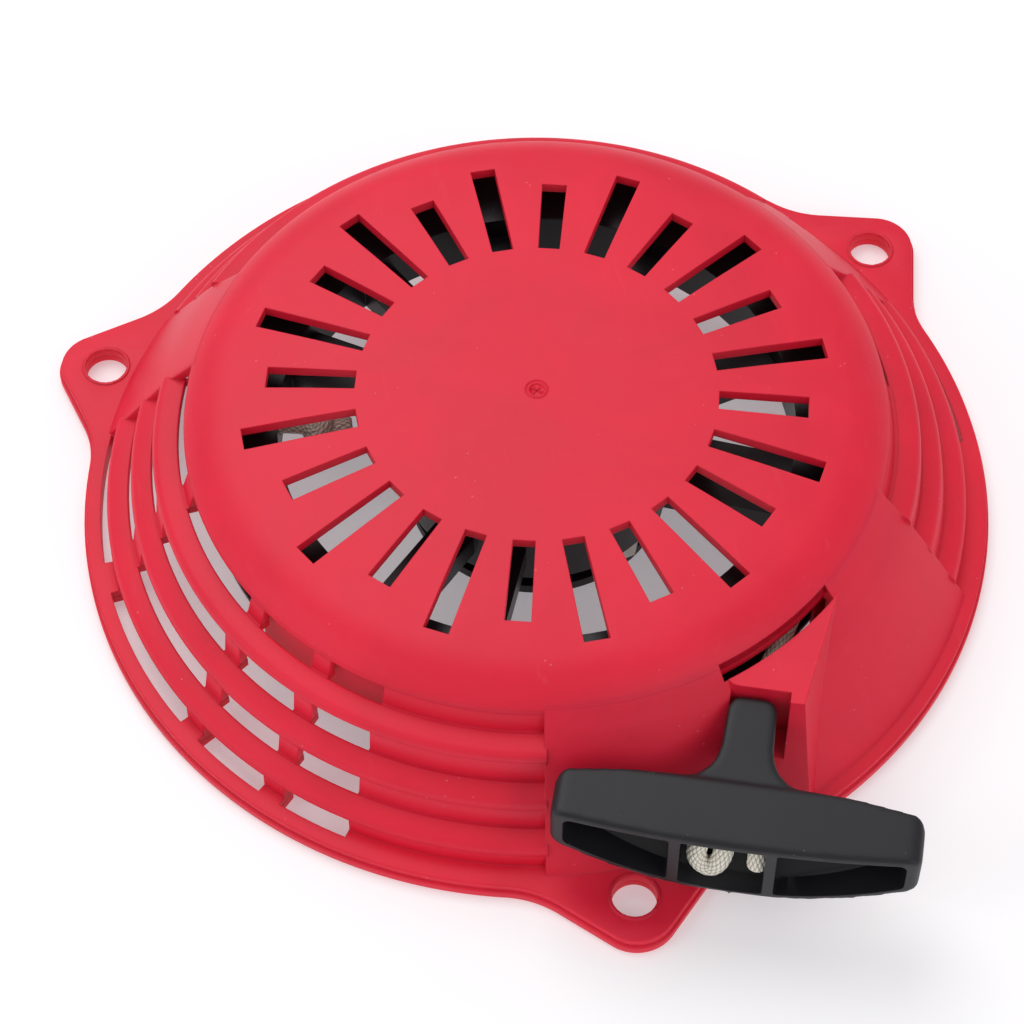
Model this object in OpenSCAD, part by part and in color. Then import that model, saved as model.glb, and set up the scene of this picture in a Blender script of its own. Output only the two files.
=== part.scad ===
// Recoil starter for a small vertical-shaft engine.
// Origin: the reel's axis on the underside of the mounting flange. +Z points up to the crown.
// The -Y ear is the one beside the rope exit. All sizes are in millimetres.

/* [Mounting flange] */
// Diameter of the circle through the three stud holes
bolt_circle_d = 208; // [206:0.5:210]
// Diameter of a stud hole
stud_hole_d = 9.4; // [8.4:0.1:10]
// Radius of the round flange
flange_r = 100.6; // [99.6:0.1:101.6]
// Thickness of the flange and its ears
flange_t = 4; // [3.6:0.1:4.4]

/* [Cover] */
// Height of the flat crown above the mounting face
crown_z = 40.5; // [40.5:0.25:42]
// Wall thickness of the moulding
wall_t = 2.2; // [1.8:0.1:2.4]
// Number of radial air slots in the crown
slot_count = 24; // [12:6:24]
// Radius at which every air slot starts
slot_in_r = 38.9; // [37:0.1:41]
// Outer radius of a long slot
slot_long_r = 63.5; // [60:0.1:65]
// Outer radius of a short slot
slot_short_r = 58.1; // [54:0.1:60]

/* [Reel and rope] */
// Outer radius of the reel's two flanges
reel_r = 72.5; // [70:0.5:72.5]
// Radius of the bottom of the rope groove
groove_r = 58; // [57:0.5:60]
// Diameter of the braided rope
rope_d = 4.2; // [3.6:0.1:4.4]
// Outer radius of the rope wound on the reel
wound_r = 68.5; // [66:0.5:69]

/* [Grip] */
// Length of the T-bar
bar_l = 74.4; // [64:0.2:76]
// Height of the bar's front face at its middle
bar_h = 20; // [18:0.5:21]
// Width of the grip's neck where it enters the cover
neck_w = 9.6; // [9:0.1:10.4]

/* [Ratchets] */
// Radius from the axis to a ratchet's pivot
pivot_r = 20; // [19.5:0.25:20.5]
// Radius of a ratchet's pivot peg
peg_r = 3; // [2.5:0.1:3.2]

/* [Hidden] */

$fn = 96;
ear_angles = [30, 150, 270];
bolt_r = bolt_circle_d / 2;

// Ears: a round tip, flanks at 45 degrees and a fillet into the flange
ear_tip_r = 9;
ear_tip_c = bolt_r + 2;
ear_fillet_r = 22;
flank_sum = ear_tip_c + ear_tip_r * sqrt(2);
fillet_sum = flank_sum + ear_fillet_r * sqrt(2);
fillet_c_r = flange_r - 0.4 + ear_fillet_r;
fillet_x = (fillet_sum + sqrt(2 * fillet_c_r * fillet_c_r - fillet_sum * fillet_sum)) / 2;
fillet_y = fillet_sum - fillet_x;

// Terraces of the side wall, as [inner radius, inner z, outer radius, outer z] of each ledge's top
ledges = [[77.3, 28.2, 83.2, 27.5], [83.8, 19.9, 88.7, 18.1], [89.7, 11.3, 94.9, 9.7]];
edge_round = 1.5;
cap_r = 75.7;
cap_z = 34;
wall_foot_r = 95;
flange_bore_r = 92.2;

// Sectors as [start angle, sweep]
gusset_half = 10.3;
exit_start = -100;
exit_sweep = 72;
step_sectors = [
    [30 + gusset_half - 0.4, 120.8 - 2 * gusset_half],
    [150 + gusset_half - 0.4, 110.8 - gusset_half],
    [exit_start + exit_sweep - 0.4, 58.8 - gusset_half]
];
cone_sectors = [
    [30 - gusset_half, 2 * gusset_half], [150 - gusset_half, 2 * gusset_half], [exit_start, exit_sweep]
];
// Louvre columns in the terraces, as [start angle, sweep]
louvre_columns = [
    [160.5, 20.5], [185.8, 21.9], [211.2, 10.8], [225.3, 9.4],
    [-3.5, 23], [40.5, 21.3], [66, 21.8], [92.2, 21.8], [118.2, 21.3]
];

// Louvre windows in the risers between the terraces, as [inner radius, lowest z, depth, height]
louvre_rows = [
    [71, 28.5, 8, 3.7], [80.4, 20.2, 5, 4.9], [86, 11.6, 5.4, 3.9], [91.6, flange_t + 0.3, 5, 3.1]
];

// Pull line of the rope, in the direction of pull_angle
pull_angle = -110;
pull_v = 54.6;
pull_z = 24.8;
exit_u = 61.5;
exit_wall = 2.1;
notch_w = 13.4;
platform_z = 32;
// Curved slit beside the rope exit, as [inner radius, outer radius, start angle, sweep]
slit = [75.1, 77.7, -71.7, 22.9];

// Post and reel
post_r = 9;
post_end_z = 12.6;
ceiling_z = crown_z - 2.4;
insert_r = 4.2;
insert_l = 14;
hub_r = 30;
hub_wall = 1.8;
hub_bottom = 13;
hub_floor_top = 21.5;
hub_top = 36;
rim_bottom = 17.6;
rim_top = 30;
rim_wall = 2;
rim_flange_t = 1.6;
run_fit = 0.06;
// Spokes between hub and rim, as [angle, width]
spokes = [[13, 10], [52, 9], [90, 10], [118, 9], [146, 14], [-136, 9], [-114, 9], [-25, 16]];
spoke_low = 18;
spoke_high = 24;
knot_angle = 166;
knot_z = 23.8;
knot_r = 48;

// Ratchets, in the reel's frame: pivot on +X for the first, on -X for the second
ratchet_low = 8;
ratchet_high = 12.4;
nib = [-2.9, -12.35];
nib_r = 1.4;
guide_low = 5;
guide_high = 7.6;
guide_r = 28.6;
guide_boss_r = 11;
guide_boss_z = 12.4;
recess_r = 8.6;
recess_z = 9.8;
// Middle line of the first cam slot in the guide
cam_path = [[17.1, -12.35], [15.6, -17.3], [12.8, -21.85]];

// Setting screw: a hexagonal head with a round flange under the guide
screw_r = 2.9;
screw_head_z = 0.8;
screw_flange_z = 2.6;
screw_flange_r = 8.2;
friction_wire_r = 0.5;
friction_coil_r = 5.6;

// Recoil spring: a flat steel strip wound from the post out to the hub wall
spring_z = 22.4;
spring_h = 11;
spring_in_r = post_r + 1.2;
spring_out_r = hub_r - hub_wall - 0.8;
spring_turns = 8;
spring_steps = 24;
strip_t = 0.6;

// Grip, in the pull frame: u along the pull, v across, z up
bar_u_front = 98;
bar_u_back = 81.6;
bar_top = 30.8;
bar_sag = 2.2;
bar_bow = 8.4;
neck_u = 63.8;
web_offsets = [-11.8, 7.6];
web_t = 2.2;
pocket_wall = 1.8;
pocket_u = 86.5;

// The rope's run from the reel to the exit: its points, chosen by hand
rope_route = [
    [43.4, -56.4, 25.6], [40.6, -60.6, 25.4], [37.8, -64.8, 25.2], [34.8, -69.0, 25],
    [32.1, -73.1, 24.9], [29.6, -78.4, 24.8]
];

module sector(span) {
    rotate([0, 0, span[0]])
        rotate_extrude(angle = span[1])
            children();
}

module pull_frame() {
    rotate([0, 0, pull_angle])
        children();
}

// A closed tube along points, with a ring of sides at each point
function unit(v) = v / norm(v);
function heading(p, i) = unit(p[min(i + 1, len(p) - 1)] - p[max(i - 1, 0)]);
function side_of(d) = unit(cross(d, [0, 0, 1]));
function ring(c, d, r, sides) = [
    for (k = [0:sides - 1])
        c + r * (cos(360 * k / sides) * side_of(d) + sin(360 * k / sides) * cross(side_of(d), d))
];
module tube(points, r, sides = 8) {
    n = len(points);
    rings = [for (i = [0:n - 1]) each ring(points[i], heading(points, i), r, sides)];
    skin = [
        for (i = [0:n - 2])
            for (k = [0:sides - 1])
                let (a = i * sides + k, b = i * sides + (k + 1) % sides)
                    each [[a, b, b + sides], [a, b + sides, a + sides]]
    ];
    caps = [[for (k = [sides - 1:-1:0]) k], [for (k = [0:sides - 1]) (n - 1) * sides + k]];
    polyhedron(rings, concat(skin, caps), convexity = 8);
}

function helix(r, z0, z1, turns, steps) = [
    for (i = [0:turns * steps])
        [r * cos(360 * i / steps), r * sin(360 * i / steps), z0 + (z1 - z0) * i / (turns * steps)]
];

// ---- Housing ----

module crown_profile() {
    polygon([
        [0, crown_z], [slot_in_r, crown_z], [slot_long_r, 39.2], [68.4, 38.3], [71.6, 37.1], [74, 35.7],
        [cap_r, cap_z], [76, 32.2], [73.8, 32.2], [72.6, 33.6], [70.4, 35.1], [slot_long_r, 36.8],
        [slot_in_r, ceiling_z], [0, ceiling_z]
    ]);
}

module step_profile() {
    outer = [
        [cap_r, 33.4],
        for (l = ledges)
            each [[l[0], l[1]], [l[2] - edge_round, l[3]], [l[2], l[3] - edge_round]],
        [wall_foot_r, flange_t - 1]
    ];
    inner = [
        for (i = [len(outer) - 1:-1:0])
            outer[i] - [wall_t, i == 0 || i == len(outer) - 1 ? 0 : wall_t]
    ];
    polygon(concat(outer, inner));
}

module cone_outline() {
    polygon([[0, 0], [97.6, 3.6], [93.4, 10], [88, 18.1], [82.2, 26.5], [75.5, cap_z], [0, cap_z]]);
}

module cone_profile() {
    polygon([
        [97.6, 3.6], [93.4, 10], [88, 18.1], [82.2, 26.5], [75.5, cap_z],
        [73.4, 33.6], [80.2, 25.4], [86.1, 16.8], [91.6, 8.6], [95.6, 2.4], [97.6, 2.4]
    ]);
}

// A flat ring with a step round its outer edge
module flange() {
    difference() {
        union() {
            cylinder(h = flange_t, r = flange_r - 0.7);
            cylinder(h = flange_t / 2, r = flange_r);
        }
        translate([0, 0, -1])
            cylinder(h = flange_t + 2, r = flange_bore_r);
    }
}

// Points of an arc, from one angle to another
function arc(c, r, from, to, steps) = [
    for (i = [0:steps])
        let (t = from + (to - from) * i / steps)
            c + r * [cos(t), sin(t)]
];

module ear() {
    fillet_end = 180 + atan2(fillet_y, fillet_x);
    flank = concat(
        arc([ear_tip_c, 0], ear_tip_r, 0, 45, 6),
        arc([fillet_x, fillet_y], ear_fillet_r, 225, fillet_end, 6),
        [[94, 22]]
    );
    linear_extrude(flange_t - 0.2)
        polygon(concat(
            flank,
            [for (i = [len(flank) - 1:-1:1]) [flank[i][0], -flank[i][1]]]
        ));
    translate([bolt_r, 0, 0])
        cylinder(h = flange_t + 0.6, r = stud_hole_d / 2 + 1.4);
}

module air_slot(outer_r) {
    translate([0, 0, rim_top + 1])
        linear_extrude(crown_z)
            polygon([[slot_in_r, -2.35], [outer_r, -2.75], [outer_r, 2.75], [slot_in_r, 2.35]]);
}

module louvre_cut() {
    for (row = louvre_rows)
        translate([row[0], row[1]])
            square([row[2], row[3]]);
}

// Raised box where the rope leaves: a flat platform over the rope and a notch for the grip's neck
module exit_raised() {
    pull_frame()
        translate([0, 0, 12])
            linear_extrude(platform_z - 12)
                polygon([
                    [28.1, 70], [65.6, 64.9], [65.6, 61], [exit_u + 1, 50], [63.2, 39.7], [50, 40], [28, 60]
                ]);
}

module exit_walls() {
    intersection() {
        pull_frame()
            translate([exit_u - exit_wall, pull_v - notch_w / 2 - 2, 14.8])
                cube([18, notch_w + 4.2, platform_z - 14.8]);
        union() {
            sector([exit_start, exit_sweep])
                cone_outline();
            exit_raised();
        }
    }
}

module exit_hollow() {
    pull_frame()
        translate([0, 0, 5])
            linear_extrude(platform_z - wall_t - 5)
                polygon([
                    [28, 60], [28.1, 67.6], [exit_u - exit_wall, 63.3], [exit_u - exit_wall, 46.2], [48, 50]
                ]);
}

module exit_notch() {
    pull_frame() {
        translate([exit_u, pull_v - notch_w / 2, 17])
            cube([40, notch_w, 30]);
        translate([exit_u - 5, pull_v, pull_z])
            rotate([0, 90, 0])
                cylinder(h = 10, r = rope_d / 2 + 0.7);
    }
}

module housing() {
    color([0.82, 0.14, 0.22])
        difference() {
            union() {
                difference() {
                    union() {
                        for (span = cone_sectors)
                            sector(span)
                                cone_profile();
                        exit_raised();
                    }
                    exit_hollow();
                    translate([0, 0, 5])
                        cylinder(h = 27.2, r = 74.2);
                }
                rotate_extrude()
                    crown_profile();
                flange();
                for (span = step_sectors)
                    sector(span)
                        step_profile();
                for (a = ear_angles)
                    rotate([0, 0, a])
                        ear();
                exit_walls();
                translate([0, 0, post_end_z])
                    cylinder(h = ceiling_z - post_end_z + 1, r = post_r);
            }
            for (i = [0:slot_count - 1])
                rotate([0, 0, i * 360 / slot_count])
                    air_slot(i % 2 == 0 ? slot_long_r : slot_short_r);
            for (span = louvre_columns)
                sector(span)
                    louvre_cut();
            for (a = ear_angles)
                rotate([0, 0, a])
                    translate([bolt_r, 0, -1])
                        cylinder(h = flange_t + 4, r = stud_hole_d / 2);
            sector([slit[2], slit[3]])
                translate([slit[0], 20])
                    square([slit[1] - slit[0], 20]);
            exit_notch();
            translate([0, 0, post_end_z - 1])
                cylinder(h = insert_l + 2, r = insert_r);
            translate([post_r - 3, -strip_t / 2 - 0.6, spring_z - 0.4])
                cube([4, 1.2, spring_h + 1.4]);
        }
}

module post_insert() {
    color("goldenrod")
        translate([0, 0, post_end_z + 0.2])
            difference() {
                cylinder(h = insert_l, r = insert_r);
                translate([0, 0, -1])
                    cylinder(h = insert_l + 2, r = screw_r + 0.05);
            }
}

// ---- Reel ----

module reel_hub() {
    difference() {
        translate([0, 0, hub_bottom])
            cylinder(h = hub_top - hub_bottom, r = hub_r);
        translate([0, 0, hub_floor_top])
            cylinder(h = hub_top, r = hub_r - hub_wall);
        for (a = [60:60:120], s = [0, 180])
            rotate([0, 0, a + s])
                translate([pivot_r, 0, hub_bottom - 1])
                    cylinder(h = 6.5, r = 6);
        for (a = [0, 180])
            rotate([0, 0, a])
                translate([pivot_r, 0, hub_bottom - 1])
                    cylinder(h = 4, r = 5.6);
    }
    translate([0, 0, hub_bottom])
        cylinder(h = hub_floor_top + 0.4 - hub_bottom, r = post_r + 3);
    for (a = [0, 180])
        rotate([0, 0, a])
            translate([pivot_r, 0, ratchet_low + 0.2])
                cylinder(h = hub_bottom + 5 - ratchet_low, r = peg_r);
}

module reel_rim() {
    rotate_extrude()
        polygon([
            [groove_r - rim_wall, rim_bottom], [reel_r, rim_bottom], [reel_r, rim_bottom + rim_flange_t - 0.3],
            [groove_r, rim_bottom + rim_flange_t], [groove_r, rim_top - rim_flange_t],
            [reel_r, rim_top - rim_flange_t + 0.3], [reel_r, rim_top], [groove_r - rim_wall, rim_top]
        ]);
}

module reel() {
    color([0.13, 0.13, 0.14])
        difference() {
            union() {
                reel_hub();
                reel_rim();
                for (s = spokes)
                    rotate([0, 0, s[0]])
                        translate([hub_r - 1, -s[1] / 2, spoke_low])
                            cube([groove_r - hub_r, s[1], spoke_high - spoke_low]);
            }
            translate([0, 0, hub_bottom - 1])
                cylinder(h = 20, r = post_r + run_fit);
            rotate([0, 0, knot_angle])
                translate([groove_r - 5, 0, knot_z])
                    rotate([0, 90, 0])
                        cylinder(h = 7, r = rope_d / 2 + 0.3);
        }
}

// ---- Recoil spring ----

function spiral(offset) = [
    for (i = [0:spring_turns * spring_steps])
        let (t = i / (spring_turns * spring_steps), r = spring_in_r + (spring_out_r - spring_in_r) * t + offset)
            [r * cos(360 * i / spring_steps), r * sin(360 * i / spring_steps)]
];

module recoil_spring() {
    inner = spiral(0);
    outer = spiral(strip_t);
    color("silver")
        translate([0, 0, spring_z])
            linear_extrude(spring_h)
                polygon(concat(
                    [[post_r - 1.8, 0]], inner, [for (i = [len(outer) - 1:-1:0]) outer[i]],
                    [[spring_in_r + strip_t, -strip_t], [post_r - 1.8, -strip_t]]
                ));
}

// ---- Ratchets and their guide ----

module ratchet_shape() {
    difference() {
        union() {
            translate([0, 0, ratchet_low])
                linear_extrude(ratchet_high - ratchet_low) {
                    circle(5.2);
                    polygon([
                        [-5.2, 0], [-7.6, -14], [-9.2, -23.2], [-6.3, -25.2], [-3, -24.4], [1.8, -14], [5.2, 0]
                    ]);
                }
            translate([nib[0], nib[1], guide_low + 0.2])
                cylinder(h = ratchet_low - guide_low, r = nib_r);
        }
        translate([0, 0, ratchet_low - 1])
            cylinder(h = 8, r = peg_r + 0.05);
    }
}

module ratchet_at(angle) {
    rotate([0, 0, angle])
        translate([pivot_r, 0, 0])
            ratchet_shape();
}

module ratchet_a() {
    color([0.55, 0.56, 0.58])
        ratchet_at(0);
}

module ratchet_b() {
    color([0.55, 0.56, 0.58])
        ratchet_at(180);
}

module ratchet_spring_at(angle) {
    rotate([0, 0, angle])
        translate([pivot_r, 0, 0])
            tube(helix(peg_r + 1.1, 13.1, 15.5, 3, 16), 0.35, 6);
}

module ratchet_spring_a() {
    color("silver")
        ratchet_spring_at(0);
}

module ratchet_spring_b() {
    color("silver")
        ratchet_spring_at(180);
}

// A slot of even width through a list of 2-D points
module slot_path(points, r) {
    for (p = points)
        translate(p)
            circle(r);
    for (i = [0:len(points) - 2]) {
        d = points[i + 1] - points[i];
        translate(points[i])
            rotate(atan2(d[1], d[0]))
                translate([0, -r * 0.97])
                    square([norm(d), 1.94 * r]);
    }
}

module ratchet_guide() {
    color([0.2, 0.2, 0.22])
        difference() {
            union() {
                translate([0, 0, guide_low])
                    cylinder(h = guide_high - guide_low, r = guide_r);
                translate([0, 0, guide_low])
                    cylinder(h = guide_boss_z - guide_low, r = guide_boss_r);
            }
            translate([0, 0, guide_low - 1])
                cylinder(h = recess_z - guide_low + 1, r = recess_r);
            cylinder(h = 20, r = screw_r + run_fit);
            for (a = [0, 180])
                rotate([0, 0, a])
                    translate([0, 0, guide_low - 1])
                        linear_extrude(guide_high - guide_low + 2)
                            slot_path(cam_path, nib_r + 0.7);
        }
}

module friction_spring() {
    color("silver")
        tube(helix(friction_coil_r, screw_flange_z + 2.1, recess_z - 0.6, 4, 20), friction_wire_r, 6);
}

module setting_screw() {
    color("gainsboro")
        difference() {
            union() {
                translate([0, 0, screw_head_z])
                    cylinder(h = 2.2, r = 5.77, $fn = 6);
                translate([0, 0, screw_flange_z])
                    cylinder(h = 1.4, r = screw_flange_r);
                translate([0, 0, screw_flange_z])
                    cylinder(h = 22, r = screw_r);
            }
            cylinder(h = screw_head_z + 0.8, r = 3.2);
        }
}

// ---- Rope ----

module rope_wound() {
    color([0.9, 0.88, 0.8])
        rotate_extrude()
            translate([groove_r + 0.1, 19.5])
                square([wound_r - groove_r - 0.1, 8.6]);
}

// The rope's inner end comes through the rim into a window of the reel and is knotted there
module reel_knot() {
    color([0.85, 0.82, 0.72])
        rotate([0, 0, knot_angle])
            translate([0, 0, knot_z]) {
                translate([knot_r, 0, 0])
                    sphere(r = 4);
                translate([knot_r - 8, 0, 0])
                    rotate([0, 90, 0])
                        cylinder(h = groove_r - knot_r + 8, r = rope_d / 2);
            }
}

module rope_lead() {
    color([0.9, 0.88, 0.8])
        tube(rope_route, rope_d / 2);
}

module rope_in_grip() {
    color([0.9, 0.88, 0.8])
        pull_frame()
            translate([neck_u + 0.2, pull_v, pull_z])
                rotate([0, 90, 0])
                    cylinder(h = pocket_u - neck_u + 1.1, r = rope_d / 2);
}

module grip_knot() {
    color([0.9, 0.88, 0.8])
        pull_frame()
            translate([pocket_u + 5.4, pull_v - 3, pull_z - 2])
                rotate([90, 0, 0])
                    rotate_extrude()
                        translate([3.0, 0])
                            circle(rope_d / 2 - 0.1);
}

module rope_tail() {
    color([0.9, 0.88, 0.8])
        pull_frame()
            translate([pocket_u + 0.8, pull_v + 3.6, pull_z - 3])
                rotate([0, 90, 0])
                    cylinder(h = 9, r = rope_d / 2 - 0.2);
}

// ---- Grip ----

module bar_plan() {
    half = bar_l / 2;
    bow_r = (half * half + bar_sag * bar_sag) / (2 * bar_sag);
    intersection() {
        translate([bar_u_front - bow_r, 0])
            circle(bow_r, $fn = 360);
        polygon([
            [bar_u_back, -8], [bar_u_back + 2.6, -half + 6], [bar_u_back + 6.5, -half],
            [bar_u_front, -half], [bar_u_front, half], [bar_u_back + 6.5, half],
            [bar_u_back + 2.6, half - 6], [bar_u_back, 8]
        ]);
    }
}

module bar_front() {
    half = bar_l / 2;
    bow_r = (half * half + bar_bow * bar_bow) / (2 * bar_bow);
    low = bar_top - bar_h;
    intersection() {
        translate([0, low + bow_r])
            circle(bow_r, $fn = 360);
        translate([-half, low])
            square([bar_l, bar_h]);
    }
}

module bar_section() {
    polygon([
        [bar_u_back, bar_top - 2], [bar_u_back + 2, bar_top], [bar_u_front - 1, bar_top],
        [bar_u_front, bar_top - 1], [bar_u_front, bar_top - bar_h], [bar_u_front - 5, bar_top - bar_h + 1],
        [bar_u_back + 7.5, bar_top - 13.2], [bar_u_back + 2.5, bar_top - 10.4], [bar_u_back, bar_top - 8]
    ]);
}

module bar_solid() {
    intersection() {
        linear_extrude(60)
            bar_plan();
        rotate([90, 0, 90])
            linear_extrude(120)
                bar_front();
        translate([0, bar_l / 2, 0])
            rotate([90, 0, 0])
                linear_extrude(bar_l)
                    bar_section();
    }
}

module pocket_section() {
    polygon([
        [pocket_u, bar_top - pocket_wall + 1], [pocket_u + 20, bar_top - pocket_wall + 1],
        [pocket_u + 20, bar_top - bar_h], [pocket_u + 6.9, bar_top - bar_h + 2.6],
        [pocket_u + 2.4, bar_top - 12.2], [pocket_u, bar_top - 10.5]
    ]);
}

module grip_pocket(from, to) {
    half = bar_l / 2;
    bow_r = (half * half + bar_bow * bar_bow) / (2 * bar_bow);
    low = bar_top - bar_h;
    intersection() {
        translate([pocket_u, 0, 0])
            rotate([90, 0, 90])
                linear_extrude(20)
                    intersection() {
                        translate([0, low + bow_r])
                            circle(bow_r - pocket_wall, $fn = 360);
                        translate([from, low])
                            square([to - from, bar_h - pocket_wall]);
                    }
        translate([0, half, 0])
            rotate([90, 0, 0])
                linear_extrude(bar_l)
                    pocket_section();
    }
}

module grip_neck() {
    translate([neck_u, 0, 0])
        linear_extrude(60)
            polygon([
                [0, -neck_w / 2 + 1.6], [1.6, -neck_w / 2], [12, -neck_w / 2 - 0.6], [16.6, -neck_w / 2 - 2.2],
                [19, -neck_w / 2 - 6], [22, -neck_w / 2 - 6], [22, neck_w / 2 + 6], [19, neck_w / 2 + 6],
                [16.6, neck_w / 2 + 2.2], [12, neck_w / 2 + 0.6], [1.6, neck_w / 2], [0, neck_w / 2 - 1.6]
            ]);
}

module grip() {
    color([0.16, 0.16, 0.18])
        pull_frame()
            translate([0, pull_v, 0])
                difference() {
                    union() {
                        bar_solid();
                        intersection() {
                            grip_neck();
                            translate([neck_u - 1, -20, pull_z - 5])
                                cube([24, 40, 10]);
                        }
                    }
                    difference() {
                        grip_pocket(-bar_l / 2 + pocket_wall + 1, bar_l / 2 - pocket_wall - 1);
                        for (w = web_offsets)
                            translate([0, w - web_t / 2, 0])
                                cube([120, web_t, 60]);
                    }
                    translate([neck_u - 1, 0, pull_z])
                        rotate([0, 90, 0])
                            cylinder(h = 30, r = rope_d / 2 + 0.25);
                }
}

housing();
post_insert();
reel();
recoil_spring();
ratchet_a();
ratchet_b();
ratchet_spring_a();
ratchet_spring_b();
ratchet_guide();
friction_spring();
setting_screw();
rope_wound();
reel_knot();
rope_lead();
rope_in_grip();
grip_knot();
rope_tail();
grip();
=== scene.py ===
"""Recoil starter: the looks of its cover, grip, rope and drive parts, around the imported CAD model.

Outlines and sizes are in millimetres, and become metres where a mesh is made.
"""

import math
import random

import bpy
from mathutils import Matrix, Vector


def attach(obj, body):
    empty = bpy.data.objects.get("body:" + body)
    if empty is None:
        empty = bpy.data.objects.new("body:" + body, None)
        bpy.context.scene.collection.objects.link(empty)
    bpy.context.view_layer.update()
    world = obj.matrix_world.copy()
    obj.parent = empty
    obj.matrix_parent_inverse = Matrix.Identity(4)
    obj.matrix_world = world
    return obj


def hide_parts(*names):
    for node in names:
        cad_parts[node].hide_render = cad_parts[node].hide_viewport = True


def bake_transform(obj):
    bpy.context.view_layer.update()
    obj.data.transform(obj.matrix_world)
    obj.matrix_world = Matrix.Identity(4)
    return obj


bl_info = {
    "name": "Recoil Starter",
    "version": (1, 0, 0),
    "blender": (4, 5, 0),
    "location": "View3D > Sidebar > Starter",
    "description": "Builds the moulded cover, pull grip, braided rope and drive parts of a recoil starter",
    "category": "Object",
}

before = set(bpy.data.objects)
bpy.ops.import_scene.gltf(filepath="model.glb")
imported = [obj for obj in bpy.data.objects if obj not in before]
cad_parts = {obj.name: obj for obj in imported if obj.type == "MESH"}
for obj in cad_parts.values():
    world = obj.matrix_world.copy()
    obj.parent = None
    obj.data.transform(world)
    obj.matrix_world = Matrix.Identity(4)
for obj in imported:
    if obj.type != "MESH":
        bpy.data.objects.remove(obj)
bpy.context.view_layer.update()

MM = 0.001

# Ears and flange: the ears' angles, the bolt circle, the stud holes and the flange's edge
EARS = (30, 150, 270)
BOLT_R = 104.0
HOLE_R = 4.7
FLANGE_R = 100.6

# The pull line: its turn about Z, its distance from the reel's axis and its height
PULL_ANGLE = math.radians(-110)
PULL_V = 54.6
PULL_Z = 24.8
PULL_FRAME = Matrix.Rotation(PULL_ANGLE, 4, "Z")

# Air slots in the crown: how many, their inner end, the outer ends of the long and the short ones,
# and half their width at the inner and the outer end
SLOTS = 24
SLOT_START = 38.9
SLOT_ENDS = (63.5, 58.1)
SLOT_HALVES = (2.35, 2.75)

# Step sectors and cone sectors of the side wall, as (first angle, last angle)
STEPS = ((39.9, 140.1), (159.9, 260.3), (-28.3, 19.9))
CONES = ((19.7, 40.3), (139.7, 160.3))
EXIT_CONE = (-100.0, -28.0)
# Louvre columns, as (first angle, last angle)
LOUVRES = (
    (160.5, 181), (185.8, 207.7), (211.2, 222), (225.3, 234.7),
    (-3.5, 19.5), (40.5, 61.8), (66, 87.8), (92.2, 114), (118.2, 139.5),
)
# The cone's outer skin, as (radius, height)
CONE_CURVE = (
    (97.6, 3.6), (95.6, 6.7), (93.4, 10), (90.8, 14), (88, 18.1), (85.2, 22.3),
    (82.2, 26.5), (78.9, 30.35), (76.4, 33.3), (75.45, 34.4), (74.9, 34.78),
)
# The thin wall round the reel, which shows through the top louvres, as (first angle, last angle)
REEL_WALLS = ((208.5, 262), (-49.5, -28.5))

# Degrees per step in a turned solid: the main wall, its stretches and the short parts
WALL_STEP = 1.5
SHORT_STEP = 1.2

# Places for prisms that are drawn in XY: facing along the pull line, and lying across it
FACING = Matrix(((0, 0, 1, 0), (1, 0, 0, 0), (0, 1, 0, 0), (0, 0, 0, 1)))
CROSSWISE = Matrix(((1, 0, 0, 0), (0, 0, -1, 0), (0, 1, 0, 0), (0, 0, 0, 1)))
ALONG_X = Matrix.Rotation(math.pi / 2, 4, "Y")


# ---- Modelling helpers ----


def clear():
    if bpy.context.mode != "OBJECT":
        bpy.ops.object.mode_set(mode="OBJECT")
    bpy.ops.object.select_all(action="DESELECT")


def pick(*objs):
    clear()
    for obj in objs:
        obj.select_set(True)
    bpy.context.view_layer.objects.active = objs[0]


def edit(obj):
    pick(obj)
    bpy.ops.object.mode_set(mode="EDIT")
    bpy.ops.mesh.select_all(action="SELECT")


def done():
    bpy.ops.object.mode_set(mode="OBJECT")


def point(p, plane):
    """A drawn point in metres: in XZ for turned outlines, in XY for raised ones."""
    return Vector((p[0], 0, p[1]) if plane == "XZ" else (p[0], p[1], 0)) * MM


def rounded(points, steps):
    """A closed outline whose corners (x, y, radius) are rounded."""
    out = []
    for i, p in enumerate(points):
        if len(p) < 3:
            out.append(p)
            continue
        here = Vector(p[:2])
        back = (Vector(points[i - 1][:2]) - here).normalized()
        ahead = (Vector(points[(i + 1) % len(points)][:2]) - here).normalized()
        half = back.angle(ahead) / 2
        reach = p[2] / math.tan(half)
        centre = here + (back + ahead).normalized() * (p[2] / math.sin(half))
        a, b = here + back * reach - centre, here + ahead * reach - centre
        sweep = a.angle_signed(b)
        for k in range(steps + 1):
            t = -sweep * k / steps
            c, s = math.cos(t), math.sin(t)
            out.append((centre.x + a.x * c - a.y * s, centre.y + a.x * s + a.y * c))
    return out


def outline(points, plane="XY"):
    """A filled flat face with the given corners."""
    clear()
    bpy.ops.mesh.primitive_circle_add(vertices=len(points), radius=0.01, fill_type="NGON")
    obj = bpy.context.object
    for vertex, p in zip(obj.data.vertices, points):
        vertex.co = point(p, plane)
    return obj


def place(obj, matrix):
    obj.data.transform(matrix)
    return obj


def shift(obj, x=0, y=0, z=0):
    return place(obj, Matrix.Translation(Vector((x, y, z)) * MM))


def turn(obj, degrees):
    return place(obj, Matrix.Rotation(math.radians(degrees), 4, "Z"))


def mend(obj):
    """Merges doubles and points the faces of a closed shell outwards."""
    edit(obj)
    bpy.ops.mesh.remove_doubles(threshold=1e-6)
    bpy.ops.mesh.select_all(action="SELECT")
    bpy.ops.mesh.normals_make_consistent(inside=False)
    done()
    return obj


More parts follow.
